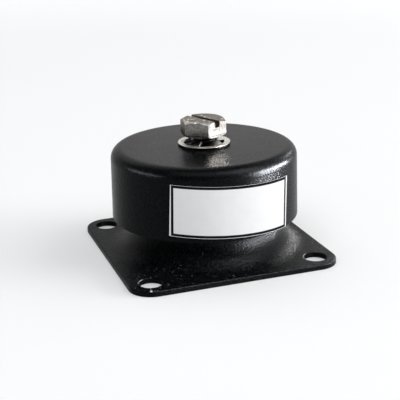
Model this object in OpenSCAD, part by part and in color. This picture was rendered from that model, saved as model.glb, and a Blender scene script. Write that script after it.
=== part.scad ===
// Bell type rubber anti-vibration mount, in millimetres.
// The origin is the centre of the base plate's underside, +Z points up the load axis.
// A pressed base with a flared neck carries the rubber, and the bell shaped cap hangs over it.
// The core joins cap, rubber and rebound washer, so it bounces between two rubber stops.

/* [Base plate] */
// Side of the square base plate
plate_w = 50; // [45:0.5:54]
// Thickness of the pressed sheet
plate_t = 1.25; // [0.8:0.05:1.5]
// Corner radius of the plate
plate_corner_r = 5.5; // [4:0.25:7]
// Distance of the fixing holes' centres from the plate's sides
hole_inset = 5; // [4:0.1:5.5]
// Diameter of the fixing holes
hole_d = 5.5; // [4:0.1:6]
// Rounding along the plate's upper edge
plate_edge_r = 0.3; // [0.1:0.05:0.5]

/* [Neck] */
// Outer diameter of the neck
neck_d = 34; // [32:0.5:34.5]
// Flat left between the flare and the middle of the plate's sides
flat_margin = 1; // [0.5:0.1:3]
// Height of the rubber's seat above the floor
seat_h = 14.5; // [13.5:0.1:16.5]
// Outer bend radius where the neck turns in to the seat
seat_bend_r = 2.5; // [1.8:0.1:3]
// Width of flat seat left bare outside the rubber's lower ring
seat_margin = 0.1; // [0:0.1:1]

/* [Cap] */
// Outer diameter of the cap halfway up its side
cap_d = 44.4; // [42:0.1:48]
// Thickness of the cap's sheet
cap_wall = 1.2; // [0.8:0.05:1.6]
// Height of the cap's rim above the floor
rim_h = 9.1; // [8:0.1:11]
// Height of the cap from its rim to its flat top
cap_h = 16.7; // [15.7:0.1:19]
// Angle by which the side leans out towards the rim
cap_draft = 0.9; // [0:0.1:2]
// Outer radius of the cap's top edge
cap_edge_r = 2.6; // [2:0.1:3.4]

/* [Core] */
// Diameter of the core's shank
core_d = 11; // [10:0.25:12]
// Diameter of the spigot staked into the cap's hole
spigot_d = 9.4; // [8.5:0.1:10]
// Depth of the spigot's end below the cap's top
spigot_drop = 0.3; // [0.1:0.05:0.5]
// Diameter of the collar under the cap
collar_d = 18; // [17:0.25:19]
// Thickness of the collar
collar_t = 2; // [1.5:0.1:3]
// Nominal diameter of the load thread
thread_d = 6; // [5:0.5:6]
// Depth of the load thread below the cap's top
thread_depth = 15; // [12:0.5:16]

/* [Rubber spring] */
// Width of the cap's flat inside left bare outside the rubber's upper ring
cap_margin = 1.9; // [0.5:0.1:3]
// Radial room between the rubber and the bump stop inside it
rubber_room = 1.3; // [0.8:0.1:1.6]
// Thickness of the two steel rings bonded to the rubber
ring_t = 1; // [0.8:0.1:1.5]
// Depth of the hollow curve round the rubber's outside
rubber_waist = 1.6; // [0.5:0.1:2]
// Margin of bare ring beside the rubber
ring_margin = 0.6; // [0.2:0.1:0.9]

/* [Stops] */
// Downward travel until the bump stop
bump_travel = 2.5; // [1.5:0.1:3]
// Upward travel until the rebound stop
rebound_travel = 1.5; // [1:0.1:2.2]
// Overhang of the bump stop's flange beyond the collar above it
bump_lip = 0.2; // [0:0.1:0.5]
// Wall of the stop's sleeve that lines the seat's hole
sleeve_wall = 1.95; // [1.2:0.05:2.2]
// Thickness of the rebound ring
rebound_t = 2.4; // [1.6:0.1:3]
// Outer diameter of the rebound ring and the rebound washer
rebound_d = 23; // [20:0.5:26]
// Thickness of the rebound washer
rebound_washer_t = 1.2; // [1:0.1:2]

/* [Core nut] */
// Thread diameter of the core's lower end
nut_thread_d = 8; // [7:0.5:9]
// Width of the nut across its flats
nut_af = 13; // [12:0.5:14]
// Height of the thin nut
nut_h = 3.2; // [2.8:0.1:3.9]

/* [Load screw] */
// Width of the hexagon head across its flats
head_af = 9.8; // [9:0.1:10.5]
// Height of the head
head_h = 3.7; // [3.4:0.1:4.2]
// Turn of the head about the load axis
head_turn = -36.7; // [-60:0.1:60]
// Height of the head's underside above the cap, as the screw is only started
screw_lift = 2.5; // [1.8:0.1:3]
// Length of the screw's shank
screw_len = 14; // [12:0.5:16]
// Distance from the flats to the bevel's circle on top of the head and the nut
bevel_inset = 0.3; // [0.1:0.05:0.4]
// Width of the slot
slot_w = 1.2; // [1:0.1:1.6]
// Depth of the slot
slot_depth = 1.4; // [1:0.1:1.8]

/* [Tooth lock washer] */
// Outer diameter of the washer
washer_d = 12.4; // [11.4:0.1:14]
// Thickness of the washer
washer_t = 0.6; // [0.4:0.05:0.7]
// Width of the washer's ring
washer_ring_w = 1.35; // [1:0.05:1.6]
// Number of inward teeth
tooth_count = 5; // [4:1:8]
// Width of a tooth
tooth_w = 2.2; // [1:0.1:2.4]
// Twist of each tooth about its own length
tooth_twist = 22; // [5:1:28]
// Turn of the first tooth about the load axis
tooth_turn = -45; // [-90:1:90]
// Radial gap between the teeth and the screw
tooth_tip_gap = 0.15; // [0.1:0.05:0.4]
// Depth to which a tooth's root reaches into the ring
tooth_root = 0.45; // [0.2:0.05:0.8]

/* [Label] */
// Width of the label along the cap's side
label_w = 30.2; // [20:0.1:34]
// Height of the label
label_h = 12; // [8:0.1:12.6]
// Thickness of the label
label_t = 0.2; // [0.1:0.05:0.4]
// Height of the label's lowest corner above the rim
label_rim_gap = 0.1; // [0:0.05:1]
// Lean of the label, clockwise seen from the front
label_tilt = 2.6; // [0:0.1:3]
// Turn of the label's middle from the front
label_turn = -0.7; // [-20:0.1:20]

/* [Fits] */
// Radial clearance between pieces that slip over each other
slip_gap = 0.05; // [0.02:0.01:0.1]
// Radial clearance between the core and the rubber stops
stop_bore_gap = 0.5; // [0.35:0.05:0.8]
// Slack left at each stop when the travel is used up
stop_slack = 0.2; // [0.1:0.05:0.4]
// Bevel on turned edges
bevel = 0.4; // [0.2:0.05:0.5]

/* [Hidden] */
$fn = 96;

// Cut beyond a face, so that no skin is left
over = 1;
hole_pitch = plate_w - 2 * hole_inset;
neck_r = neck_d / 2;
flare_outer_r = plate_w / 2 - flat_margin;
flare_r = flare_outer_r - neck_r;
flare_mid_h = plate_t + flare_r;
cap_top_h = rim_h + cap_h;
cap_mid_h = rim_h + cap_h / 2;
cap_inner_h = cap_top_h - cap_wall;
collar_top_h = cap_inner_h - ring_t;
collar_under_h = collar_top_h - collar_t;
rubber_low_h = seat_h + ring_t;
bump_top_h = collar_under_h - bump_travel - stop_slack;
seat_under_h = seat_h - plate_t;
rebound_low_h = seat_under_h - rebound_t;
shoulder_h = rebound_low_h - rebound_travel - stop_slack;
washer_under_h = shoulder_h - rebound_washer_t;
nut_under_h = washer_under_h - nut_h;
stop_bore_r = core_d / 2 + stop_bore_gap;
seat_hole_r = stop_bore_r + sleeve_wall + slip_gap;
bump_r = collar_d / 2 + bump_lip;
rubber_bore_r = bump_r + rubber_room;
lower_ring_r = neck_r - seat_bend_r - seat_margin;
spigot_hole_r = spigot_d / 2 + slip_gap;
nut_screw_r = nut_thread_d / 2 - slip_gap;
screw_r = thread_d / 2 - slip_gap;
head_under_h = cap_top_h + screw_lift;
head_top_h = head_under_h + head_h;
// Angle of the bevel on hexagons, from the flat
hex_bevel = 30;
paint = "#2b2d2f";
steel = "#b9b5af";
zinc = "#c9c6bd";
rubber = "#1d1d1e";
paper = "#dfe0e0";

// Radius of the cap's outside at a height on its leaning side
function cap_r(h) = cap_d / 2 + (cap_mid_h - h) * tan(cap_draft);
// Radius of the flat part of the cap's top, inside and out
function cap_flat_r() = cap_r(cap_top_h - cap_edge_r) - cap_edge_r / cos(cap_draft);

// A ring with its axis on Z, from one height to another
module ring(outer_r, inner_r, low, high) {
    translate([0, 0, low])
        difference() {
            cylinder(r = outer_r, h = high - low);
            translate([0, 0, -over]) cylinder(r = inner_r, h = high - low + 2 * over);
        }
}

// Half section of the plate with its rounded upper edge, on the right of the axis
module plate_section(half) {
    union() {
        square([half - plate_edge_r, plate_t]);
        square([half, plate_t - plate_edge_r]);
        translate([half - plate_edge_r, plate_t - plate_edge_r]) circle(r = plate_edge_r);
    }
}

// Slab of the plate that spans two parallel straight edges
module plate_slab() {
    straight = plate_w - 2 * plate_corner_r;
    translate([0, straight / 2, 0])
        rotate([90, 0, 0])
            linear_extrude(height = straight)
                union() {
                    plate_section(plate_w / 2);
                    mirror([1, 0]) plate_section(plate_w / 2);
                }
}

// Square plate with round corners and a rounded upper edge, not yet drilled
module plate_blank() {
    corner = plate_w / 2 - plate_corner_r;
    plate_slab();
    rotate([0, 0, 90]) plate_slab();
    for (x = [-corner, corner], y = [-corner, corner])
        translate([x, y, 0]) rotate_extrude() plate_section(plate_corner_r);
}

// Half section of the neck: flare, straight wall, bend and turned-in seat
module neck_section() {
    bend_h = seat_h - seat_bend_r;
    difference() {
        union() {
            square([flare_outer_r, flare_mid_h]);
            square([neck_r, bend_h]);
            square([neck_r - seat_bend_r, seat_h]);
            translate([neck_r - seat_bend_r, bend_h]) circle(r = seat_bend_r);
        }
        // Outside of the flare
        translate([flare_outer_r, flare_mid_h]) circle(r = flare_r);
        // Hollow inside: the flare's underside, the bore and the inner bend
        difference() {
            translate([-over, -over]) square([flare_outer_r + over, flare_mid_h + over]);
            translate([flare_outer_r, flare_mid_h]) circle(r = flare_r + plate_t);
        }
        translate([-over, -over]) square([neck_r - plate_t + over, bend_h + over]);
        translate([-over, -over]) square([neck_r - seat_bend_r + over, seat_under_h + over]);
        translate([neck_r - seat_bend_r, bend_h]) circle(r = seat_bend_r - plate_t);
        // Hole in the seat
        translate([-over, 0]) square([seat_hole_r + over, seat_h + over]);
    }
}

module base_plate() {
    color(paint)
        difference() {
            union() {
                difference() {
                    plate_blank();
                    translate([0, 0, -over]) cylinder(r = flare_outer_r, h = plate_t + 2 * over);
                }
                rotate_extrude() neck_section();
            }
            for (x = [-1, 1], y = [-1, 1])
                translate([x * hole_pitch / 2, y * hole_pitch / 2, -over])
                    cylinder(d = hole_d, h = plate_t + 2 * over);
        }
}

// Half section under the cap's leaning side and rounded edge, shrunk inwards by the inset
module bell_section(inset, low) {
    edge_r = cap_edge_r - inset;
    edge_h = cap_top_h - cap_edge_r;
    // The rounding meets the leaning side just above its own centre
    meet_h = edge_h + edge_r * sin(cap_draft);
    meet_x = cap_flat_r() + edge_r * cos(cap_draft);
    polygon([
        [0, low],
        [meet_x + (meet_h - low) * tan(cap_draft), low],
        [meet_x, meet_h],
        [cap_flat_r(), edge_h],
        [cap_flat_r(), cap_top_h - inset],
        [0, cap_top_h - inset]
    ]);
    translate([cap_flat_r(), edge_h]) circle(r = edge_r);
}

module cap() {
    color(paint)
        difference() {
            rotate_extrude()
                difference() {
                    bell_section(0, rim_h);
                    bell_section(cap_wall, rim_h - over);
                }
            translate([0, 0, cap_inner_h - over])
                cylinder(r = spigot_hole_r, h = cap_wall + 2 * over);
        }
}

// Steel ring bonded to the rubber's top, held between the cap and the core's collar
module upper_ring() {
    color(zinc) ring(cap_flat_r() - cap_margin, spigot_hole_r, collar_top_h, cap_inner_h);
}

module lower_ring() {
    color(zinc) ring(lower_ring_r, rubber_bore_r, seat_h, rubber_low_h);
}

// Rubber cone between the two rings, with a hollow curve round its outside
module rubber_spring() {
    low_r = lower_ring_r - ring_margin;
    high_r = cap_flat_r() - cap_margin - ring_margin;
    tall = collar_top_h - rubber_low_h;
    // The curve runs out just past the rings' faces
    half_chord = sqrt(pow(high_r - low_r, 2) + pow(tall, 2)) / 2 + slip_gap;
    arc_r = pow(half_chord, 2) / (2 * rubber_waist) + rubber_waist / 2;
    lean = atan2(tall, high_r - low_r);
    color(rubber)
        rotate_extrude()
            difference() {
                polygon([
                    [rubber_bore_r, rubber_low_h],
                    [low_r, rubber_low_h],
                    [high_r, collar_top_h],
                    [rubber_bore_r, collar_top_h]
                ]);
                translate([(low_r + high_r) / 2, (rubber_low_h + collar_top_h) / 2])
                    rotate(lean - 90)
                        translate([arc_r - rubber_waist, 0]) circle(r = arc_r);
            }
}

// Moulded stop: a thick flange on the seat and a sleeve down through the seat's hole
module bump_stop() {
    color(rubber)
        union() {
            ring(bump_r, stop_bore_r, seat_h, bump_top_h);
            ring(seat_hole_r - slip_gap, stop_bore_r, rebound_low_h, seat_h + bevel);
        }
}

module rebound_ring() {
    color(rubber) ring(rebound_d / 2, seat_hole_r, rebound_low_h, seat_under_h);
}

// Turned core: staked spigot, collar, shank, and a thinner end for the nut
module core() {
    color(steel)
        difference() {
            rotate_extrude()
                polygon([
                    [0, nut_under_h - bevel],
                    [nut_screw_r - bevel, nut_under_h - bevel],
                    [nut_screw_r, nut_under_h],
                    [nut_screw_r, shoulder_h],
                    [core_d / 2, shoulder_h],
                    [core_d / 2, collar_under_h],
                    [collar_d / 2, collar_under_h],
                    [collar_d / 2, collar_top_h],
                    [spigot_d / 2, collar_top_h],
                    [spigot_d / 2, cap_top_h - spigot_drop],
                    [0, cap_top_h - spigot_drop]
                ]);
            translate([0, 0, cap_top_h - thread_depth]) cylinder(d = thread_d, h = thread_depth + over);
        }
}

module rebound_washer() {
    color(zinc) ring(rebound_d / 2, nut_thread_d / 2, washer_under_h, shoulder_h);
}

// Hexagon prism whose corners are turned off at the top, and at the bottom too if both is set
module hexagon(af, low, high, both) {
    corner_r = af / 2 / cos(30);
    bevel_r = af / 2 - bevel_inset;
    wide_r = corner_r + over;
    drop = (wide_r - bevel_r) * tan(hex_bevel);
    foot = both ? [[bevel_r, low], [wide_r, low + drop]] : [[wide_r, low]];
    intersection() {
        translate([0, 0, low]) cylinder(r = corner_r, h = high - low, $fn = 6);
        rotate_extrude()
            polygon(concat([[0, low]], foot, [[wide_r, high - drop], [bevel_r, high], [0, high]]));
    }
}

module core_nut() {
    color(zinc)
        difference() {
            hexagon(nut_af, nut_under_h, washer_under_h, true);
            translate([0, 0, nut_under_h - over]) cylinder(d = nut_thread_d, h = nut_h + 2 * over);
        }
}

module load_screw() {
    color(steel)
        union() {
            difference() {
                rotate([0, 0, head_turn]) hexagon(head_af, head_under_h, head_top_h, false);
                // The slot runs square to one flat
                rotate([0, 0, head_turn + 150])
                    translate([-head_af, -slot_w / 2, head_top_h - slot_depth])
                        cube([2 * head_af, slot_w, slot_depth + over]);
            }
            translate([0, 0, head_under_h - screw_len + bevel]) cylinder(r = screw_r, h = screw_len);
            translate([0, 0, head_under_h - screw_len])
                cylinder(r1 = screw_r - bevel, r2 = screw_r, h = bevel);
        }
}

// One twisted tooth of the lock washer, reaching in from its ring
module tooth() {
    tip_r = thread_d / 2 + tooth_tip_gap;
    root_r = washer_d / 2 - washer_ring_w + tooth_root;
    // Lift that keeps the twisted tooth's lower edge on the cap
    lift = (tooth_w * sin(tooth_twist) + washer_t * cos(tooth_twist)) / 2;
    translate([(tip_r + root_r) / 2, 0, cap_top_h + lift])
        rotate([tooth_twist, 0, 0])
            cube([root_r - tip_r, tooth_w, washer_t], center = true);
}

module tooth_lock_washer() {
    color(zinc)
        union() {
            ring(washer_d / 2, washer_d / 2 - washer_ring_w, cap_top_h, cap_top_h + washer_t);
            for (i = [0 : tooth_count - 1])
                rotate([0, 0, tooth_turn + i * 360 / tooth_count]) tooth();
        }
}

// Bare label that wraps round the leaning side of the cap
module label() {
    low = rim_h;
    high = cap_top_h - cap_edge_r;
    chord = cap_d * sin(label_w / cap_d * 180 / PI);
    tall = label_h * cos(label_tilt) + chord * sin(label_tilt);
    color(paper)
        intersection() {
            rotate_extrude()
                polygon([
                    [cap_r(low), low],
                    [cap_r(low) + label_t, low],
                    [cap_r(high) + label_t, high],
                    [cap_r(high), high]
                ]);
            rotate([0, 0, label_turn])
                translate([0, -cap_d / 2, rim_h + label_rim_gap + tall / 2])
                    rotate([0, label_tilt, 0])
                        cube([chord, cap_d / 2, label_h], center = true);
        }
}

base_plate();
lower_ring();
rubber_spring();
bump_stop();
rebound_ring();
cap();
upper_ring();
core();
rebound_washer();
core_nut();
load_screw();
tooth_lock_washer();
label();
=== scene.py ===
"""Bell type rubber anti-vibration mount, finished and photographed on a white table.

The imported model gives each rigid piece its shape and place. This file gives the pieces
their paint, plating and rubber, makes the fine ones that the solids leave plain, such as
the screw's thread and the lock washer's twisted teeth, and sets the lamps and the camera.
Sizes are in millimetres in the mount's frame, and in metres for the lamps.
"""

import logging
import math
from dataclasses import dataclass
from enum import Enum
from typing import Callable, Optional, Sequence

import bmesh
import bpy
from mathutils import Matrix, Vector


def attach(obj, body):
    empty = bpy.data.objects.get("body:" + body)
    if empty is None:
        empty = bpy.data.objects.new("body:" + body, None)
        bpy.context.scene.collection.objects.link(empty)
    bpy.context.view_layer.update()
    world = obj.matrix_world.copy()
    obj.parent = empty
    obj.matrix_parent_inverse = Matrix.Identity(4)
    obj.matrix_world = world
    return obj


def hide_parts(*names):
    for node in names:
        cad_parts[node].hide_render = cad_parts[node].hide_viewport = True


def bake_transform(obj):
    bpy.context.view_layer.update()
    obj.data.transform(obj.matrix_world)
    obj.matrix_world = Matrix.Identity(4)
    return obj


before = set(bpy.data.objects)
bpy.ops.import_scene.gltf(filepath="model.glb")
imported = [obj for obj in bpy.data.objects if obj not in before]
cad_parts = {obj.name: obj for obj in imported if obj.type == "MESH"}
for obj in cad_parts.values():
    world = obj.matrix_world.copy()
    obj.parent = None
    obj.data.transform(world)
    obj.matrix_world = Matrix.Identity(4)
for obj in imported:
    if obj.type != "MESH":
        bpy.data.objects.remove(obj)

LOG = logging.getLogger("bell_mount")
MM = 0.001
# Points that are closer than this, in metres, are merged.
MERGE = 1e-7
# A rounding takes no more than this part of the edge on either side of it.
EDGE_PART = 1 / 2.2

Point = tuple[float, float, float]
Colour = tuple[float, float, float]
Span = tuple[float, float]
Piece = bpy.types.Object
Socket = bpy.types.NodeSocket


class Body(Enum):
    """The two bodies that the rubber joins."""

    BASE = "base"
    CAP = "cap"


class Shine(Enum):
    """What a lamp shines on."""

    ALL = "all"
    MOUNT = "mount"
    CAP = "cap"
    BASE = "base"
    STEEL = "steel"


class Slot(Enum):
    """The names of the record's material slots."""

    RUBBER = "black_rubber"
    SCREW = "screw_steel"
    WASHER = "washer_steel"
    LABEL = "label_foil"


# Mesh workshop.


def polar(radius: float, turn: float, height: float) -> Point:
    """Returns the point at a radius, an angle in radians and a height."""
    return (radius * math.cos(turn), radius * math.sin(turn), height)


def oblong(half_x: float, half_y: float) -> list[Span]:
    """Returns the corners of an oblong about the origin."""
    return [(-half_x, -half_y), (half_x, -half_y), (half_x, half_y), (-half_x, half_y)]


def linked(name: str, data: bpy.types.ID) -> Piece:
    """Adds an object to the scene.

    Args:
        name: The object's name.
        data: Its mesh, lamp or camera.

    Returns:
        The object.
    """
    piece = bpy.data.objects.new(name, data)
    bpy.context.scene.collection.objects.link(piece)
    return piece


def forge(name: str, points: Sequence[Point], faces: Sequence[Sequence[int]]) -> Piece:
    """Makes a piece with clean outward faces.

    Args:
        name: The piece's name.
        points: Its points.
        faces: The point numbers of each face.

    Returns:
        The piece.
    """
    mesh = bpy.data.meshes.new(name)
    mesh.from_pydata([(x * MM, y * MM, z * MM) for x, y, z in points], [], faces)
    piece = linked(name, mesh)
    with_bmesh(piece, tidy_mesh)
    return piece


def with_bmesh(piece: Piece, edit: Callable[[bmesh.types.BMesh], None]) -> None:
    """Runs one edit on a piece's mesh.

    Args:
        piece: The piece to edit.
        edit: The function that changes the open mesh.
    """
    bm = bmesh.new()
    bm.from_mesh(piece.data)
    edit(bm)
    bm.to_mesh(piece.data)
    bm.free()


def tidy_mesh(bm: bmesh.types.BMesh) -> None:
    """Merges equal points, drops faces without area and turns all faces outwards.

    Args:
        bm: The open mesh.
    """
    bmesh.ops.remove_doubles(bm, verts=bm.verts, dist=MERGE)
    bmesh.ops.dissolve_degenerate(bm, edges=bm.edges, dist=MERGE)
    bmesh.ops.recalc_face_normals(bm, faces=bm.faces)


def soft_shade(piece: Piece, crease_deg: float) -> None:
    """Shades a piece smoothly, with sharp lines where its faces meet at more than an angle.

    Args:
        piece: The piece to shade.
        crease_deg: The angle, in degrees.
    """

    def mark(bm: bmesh.types.BMesh) -> None:
        """Marks the faces smooth and the steep edges sharp.

        Args:
            bm: The open mesh.
        """
        for face in bm.faces:
            face.smooth = True
        for edge in bm.edges:
            edge.smooth = len(edge.link_faces) == 2 and edge.calc_face_angle() <= math.radians(crease_deg)

    with_bmesh(piece, mark)


def quads(rings: int, count: int, closed: bool = False) -> list[list[int]]:
    """Joins rings of points into faces.

    Args:
        rings: The number of rings.
        count: The number of points in each ring.
        closed: Whether the last ring is joined to the first.

    Returns:
        The point numbers of each face.
    """
    faces = []
    for i in range(rings if closed else rings - 1):
        here, after = i * count, (i + 1) % rings * count
        faces += [[here + j, after + j, after + (j + 1) % count, here + (j + 1) % count] for j in range(count)]
    return faces


def turned(name: str, section: Sequence[Span], steps: int) -> Piece:
    """Turns a closed section round the load axis.

    Args:
        name: The piece's name.
        section: The section's corners as radius and height.
        steps: The number of steps round the axis.

    Returns:
        The turned piece. A corner on the axis becomes one point.
    """
    turns = [2 * math.pi * i / steps for i in range(steps)]
    points = [polar(radius, turn, height) for turn in turns for radius, height in section]
    return forge(name, points, quads(steps, len(section), closed=True))


def rounded(corners: Sequence[Span], radius: float, steps: int = 3) -> list[Span]:
    """Rounds the corners of a closed section.

    Args:
        corners: The section's corners.
        radius: The radius of the rounding, or less where an edge is short.
        steps: The number of steps in each rounding.

    Returns:
        The section with its corners rounded.
    """
    made: list[Span] = []
    for i, here in enumerate(corners):
        at = Vector(here)
        before = Vector(corners[i - 1]) - at
        after = Vector(corners[(i + 1) % len(corners)]) - at
        reach = min(radius, before.length * EDGE_PART, after.length * EDGE_PART)
        start = at + before.normalized() * reach
        end = at + after.normalized() * reach
        for s in range(steps + 1):
            t = s / steps
            made.append(tuple(start * (1 - t) ** 2 + at * 2 * t * (1 - t) + end * t**2))
    return made


def joined(name: str, parts: Sequence[Piece]) -> Piece:
    """Joins several pieces into one.

    Args:
        name: The name of the joined piece.
        parts: The pieces to join. They are used up.

    Returns:
        The joined piece.
    """
    mesh = bpy.data.meshes.new(name)
    bm = bmesh.new()
    for part in parts:
        bm.from_mesh(part.data)
        bpy.data.objects.remove(part)
    bm.to_mesh(mesh)
    bm.free()
    return linked(name, mesh)


def settle(piece: Piece) -> None:
    """Applies a piece's modifiers to its mesh.

    Args:
        piece: The piece.
    """
    bpy.context.view_layer.update()
    evaluated = piece.evaluated_get(bpy.context.evaluated_depsgraph_get())
    mesh = bpy.data.meshes.new_from_object(evaluated)
    piece.modifiers.clear()
    piece.data = mesh


def carve(piece: Piece, tool: Piece, way: str) -> None:
    """Cuts a piece with a tool and uses the tool up.

    Args:
        piece: The piece to cut.
        tool: The closed object that cuts it.
        way: DIFFERENCE or INTERSECT.
    """
    cut = piece.modifiers.new("cut", "BOOLEAN")
    cut.operation, cut.solver, cut.object = way, "EXACT", tool
    settle(piece)
    bpy.data.objects.remove(tool)


def prism(name: str, outline: Sequence[Span], low: float, high: float) -> Piece:
    """Makes an upright prism.

    Args:
        name: The prism's name.
        outline: Its corners seen from above.
        low: The height of its foot.
        high: The height of its top.

    Returns:
        The prism.
    """
    count = len(outline)
    points = [(x, y, height) for height in (low, high) for x, y in outline]
    return forge(name, points, [list(range(count)), list(range(count, 2 * count))] + quads(2, count))


# Finishes.

# How many rays find the rounding of an edge.
EDGE_SAMPLES = 6
# How alike the rounded and the true normal are on an edge, and how alike away from it.
EDGE_SPAN = (0.92, 0.99)


class Wiring:
    """Short calls for the nodes that the finishes and the sky share."""

    def __init__(self, tree: bpy.types.NodeTree) -> None:
        """Opens a node tree."""
        self.tree = tree

    def feed(self, socket: Socket, value: object) -> None:
        """Links a socket to another one, or sets its own value.

        Args:
            socket: The input.
            value: The output to link, or a number or colour.
        """
        if isinstance(value, Socket):
            self.tree.links.new(value, socket)
        else:
            socket.default_value = value

    def node(self, kind: str, inputs: dict[object, object], **settings: object) -> bpy.types.Node:
        """Adds a node.

        Args:
            kind: The node's type, without the word that all shader nodes start with.
            inputs: What its inputs get, by their name or number.
            settings: The node's properties.

        Returns:
            The node.
        """
        made = self.tree.nodes.new("ShaderNode" + kind)
        for key, value in settings.items():
            setattr(made, key, value)
        for key, value in inputs.items():
            self.feed(made.inputs[key], value)
        return made

    def step(self, operation: str, first: object, second: object = 0.0) -> Socket:
        """Returns the result of one step of arithmetic, such as MAXIMUM or SQRT."""
        return self.node("Math", {0: first, 1: second}, operation=operation).outputs[0]

    def plus(self, first: object, second: object) -> Socket:
        """Returns the sum of two values."""
        return self.step("ADD", first, second)

    def minus(self, first: object, second: object) -> Socket:
        """Returns the first value less the second."""
        return self.step("SUBTRACT", first, second)

    def times(self, first: object, *others: object) -> Socket:
        """Multiplies two or more values.

        Args:
            first: A socket or a number.
            others: More sockets or numbers.

        Returns:
            The product.
        """
        for other in others:
            first = self.step("MULTIPLY", first, other)
        return first

    def between(self, value: object, low: float, high: float, start: float = 0.0, end: float = 1.0) -> Socket:
        """Returns a smooth step from start to end, while a value goes from low to high."""
        inputs = {"Value": value, "From Min": low, "From Max": high, "To Min": start, "To Max": end}
        return self.node("MapRange", inputs, interpolation_type="SMOOTHSTEP").outputs["Result"]

    def below(self, value: object, low: float, high: float) -> Socket:
        """Returns 1 at or below low, 0 at or above high, and a smooth step between them."""
        return self.between(value, low, high, 1.0, 0.0)


class Recipe(Wiring):
    """One material under construction. Its places are in millimetres in the mount's frame."""

    def __init__(self, name: str) -> None:
        """Starts a material with a plain shader.

        Args:
            name: The material's name.
        """
        self.material = bpy.data.materials.new(name)
        self.material.use_nodes = True
        super().__init__(self.material.node_tree)
        self.shader = self.tree.nodes["Principled BSDF"]
        where = self.node("TexCoord", {}).outputs["Object"]
        self.place = self.node("VectorMath", {0: where, "Scale": 1 / MM}, operation="SCALE").outputs[0]
        self.x, self.y, self.z = self.node("SeparateXYZ", {0: self.place}).outputs

    def noise(self, per_mm: float, detail: float = 2.0, rough: float = 0.5,
              along: Optional[Point] = None) -> Socket:
        """Makes a cloudy value.

        Args:
            per_mm: How many clouds lie in a millimetre.
            detail: How many finer layers are added.
            rough: How strong the finer layers are.
            along: A factor on each axis, for clouds that are longer one way.

        Returns:
            The value, from 0 to 1.
        """
        place = self.place
        if along:
            place = self.node("VectorMath", {0: place, 1: along}, operation="MULTIPLY").outputs[0]
        inputs = {"Vector": place, "Scale": per_mm, "Detail": detail, "Roughness": rough}
        return self.node("TexNoise", inputs).outputs["Fac"]

    def cells(self, per_mm: float) -> Socket:
        """Returns the distance to the nearest of many scattered points, for grains and specks."""
        return self.node("TexVoronoi", {"Vector": self.place, "Scale": per_mm}).outputs["Distance"]

    def away(self, spot: Span = (0.0, 0.0)) -> Socket:
        """Returns the distance from the upright line through a spot."""
        dx, dy = self.minus(self.x, spot[0]), self.minus(self.y, spot[1])
        return self.step("SQRT", self.plus(self.times(dx, dx), self.times(dy, dy)))

    def ragged(self, value: Socket, per_mm: float, detail: float, width: float) -> Socket:
        """Returns a value with clouds added, so that what it bounds gets an uneven edge."""
        return self.plus(value, self.times(self.minus(self.noise(per_mm, detail), 0.5), width))

    def blend(self, share: object, first: object, second: object) -> Socket:
        """Returns a colour between two colours or sockets."""
        ends = [end if isinstance(end, Socket) else (*end, 1.0) for end in (first, second)]
        return self.node("Mix", {0: share, 6: ends[0], 7: ends[1]}, data_type="RGBA").outputs[2]

    def lift(self, height: Socket, depth_mm: float, under: Optional[Socket] = None) -> Socket:
        """Makes a normal that follows a height.

        Args:
            height: The height, from 0 to 1.
            depth_mm: The depth of the relief in millimetres.
            under: A normal to add this relief to.

        Returns:
            The normal.
        """
        inputs = {"Strength": 1.0, "Distance": depth_mm * MM, "Height": height}
        if under is not None:
            inputs["Normal"] = under
        return self.node("Bump", inputs).outputs[0]

    def rounding(self, radius_mm: float) -> Socket:
        """Returns the normal of the surface as if its edges were rounded."""
        return self.node("Bevel", {"Radius": radius_mm * MM}, samples=EDGE_SAMPLES).outputs[0]

    def edges(self, radius_mm: float) -> Socket:
        """Finds the sharp edges by how far a rounding turns the normal there.

        Args:
            radius_mm: How wide they are taken, in millimetres.

        Returns:
            1 along the edges and 0 away from them.
        """
        own = self.node("NewGeometry", {}).outputs["Normal"]
        same = self.node("VectorMath", {0: self.rounding(radius_mm), 1: own}, operation="DOT_PRODUCT")
        return self.below(same.outputs["Value"], *EDGE_SPAN)

    def set(self, **values: object) -> None:
        """Sets the shader's sockets by name, with spaces written as underscores."""
        for key, value in values.items():
            self.feed(self.shader.inputs[key.replace("_", " ")], value)

    def cover(self, mask: Socket, colour: Colour) -> None:
        """Lays a colour over the base colour where a mask says so."""
        under = self.shader.inputs["Base Color"].links[0].from_socket
        self.set(Base_Color=self.blend(mask, under, colour))


class Finish:
    """What every finish can do."""

    def start(self) -> Recipe:
        """Returns the finish's recipe, open for what else lies on the surface."""
        raise NotImplementedError

    def made(self) -> bpy.types.Material:
        """Returns the finish as a material."""
        return self.start().material


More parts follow.
